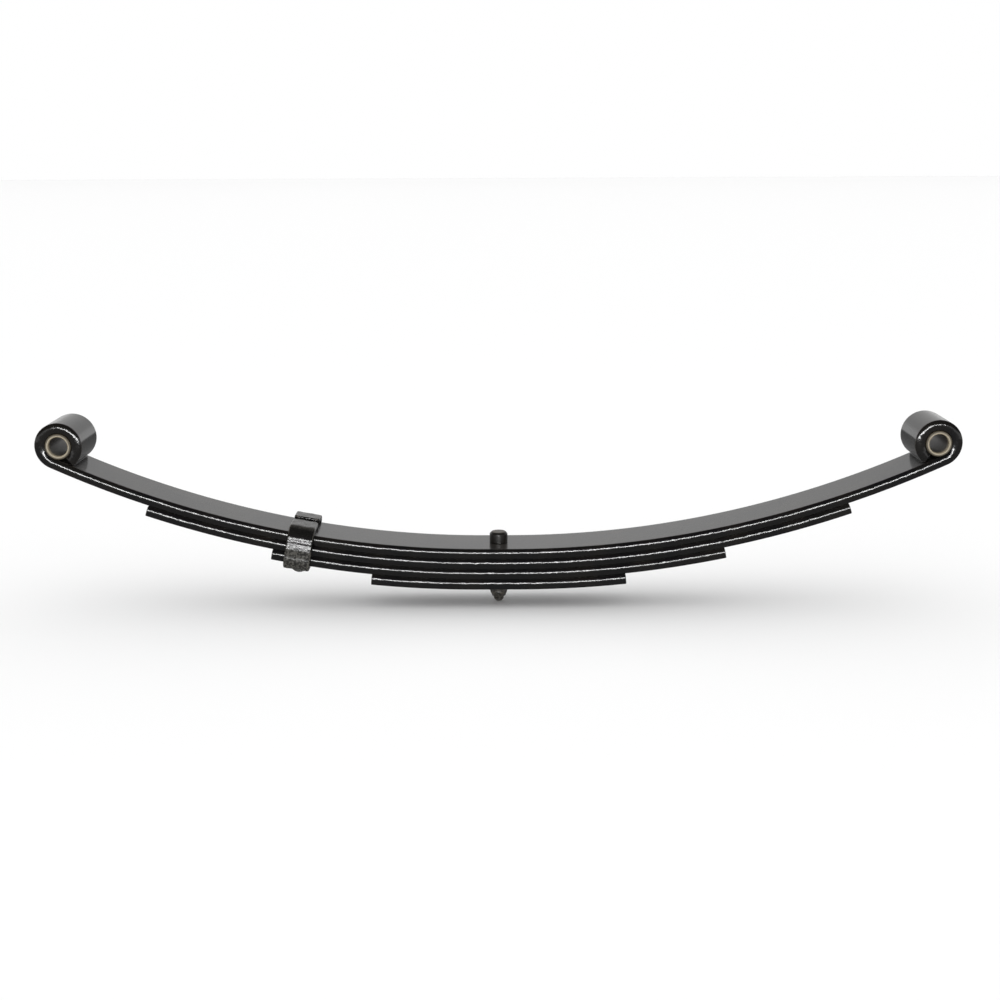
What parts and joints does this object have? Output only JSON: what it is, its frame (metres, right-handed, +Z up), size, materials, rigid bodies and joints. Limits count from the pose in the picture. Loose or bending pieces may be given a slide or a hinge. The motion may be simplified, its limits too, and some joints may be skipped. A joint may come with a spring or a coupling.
{
  "type": "leaf spring",
  "caption": "Upturned-arch leaf spring pack with an open rolled eye and plain bush at each end, a round-headed centre bolt and a riveted rebound clip.",
  "frame": {"origin": "on the centre bolt's axis at the top face of the main leaf, where the axle seat rests", "axes": "+X along the leaves towards the eye without the rebound clip, +Y across the leaves, +Z up along the centre bolt towards its head"},
  "size_m": [0.6758, 0.0532, 0.141],
  "materials": {
    "leaf_enamel": "gloss black enamel over hot-rolled spring steel",
    "fastener_enamel": "semi-gloss black enamel",
    "clip_enamel": "gloss black enamel on rough strap",
    "bush_nylon": "cream nylon, slightly soiled"
  },
  "bodies": {
    "centre_pack": {"main_leaf": "leaf_enamel", "second_leaf": "leaf_enamel", "third_leaf": "leaf_enamel", "fourth_leaf": "leaf_enamel", "centre_bolt": "fastener_enamel", "centre_bolt_nut": "fastener_enamel"},
    "left_eye": {"left_eye_bush": "bush_nylon"},
    "right_eye": {"right_eye_bush": "bush_nylon"},
    "clip": {"rebound_clip": "clip_enamel", "clip_rivet": "clip_enamel"}
  },
  "joints": [
    {"name": "left_arm_flex", "type": "hinge", "parent": "centre_pack", "child": "left_eye", "pos_m": [-0.0825, 0, -0.008], "axis": [0, -1, 0], "range_deg": [-2.5, 12], "stiffness_Nm_per_rad": 6600, "deforming": ["main_leaf", "second_leaf", "third_leaf", "fourth_leaf"]},
    {"name": "right_arm_flex", "type": "hinge", "parent": "centre_pack", "child": "right_eye", "pos_m": [0.0825, 0, -0.008], "axis": [0, 1, 0], "range_deg": [-2.6, 12.1], "stiffness_Nm_per_rad": 6600, "deforming": ["main_leaf", "second_leaf", "third_leaf", "fourth_leaf"]},
    {"name": "clip_follow", "type": "hinge", "parent": "centre_pack", "child": "clip", "pos_m": [-0.10876, 0, -0.00445], "axis": [0, -1, 0], "range_deg": [-2.03, 9.38], "deforming": ["main_leaf", "second_leaf", "third_leaf", "fourth_leaf"]}
  ],
  "couplings": [
    {"joint": "right_arm_flex", "follows": "left_arm_flex", "ratio": 1},
    {"joint": "clip_follow", "follows": "left_arm_flex", "ratio": 0.77328}
  ]
}
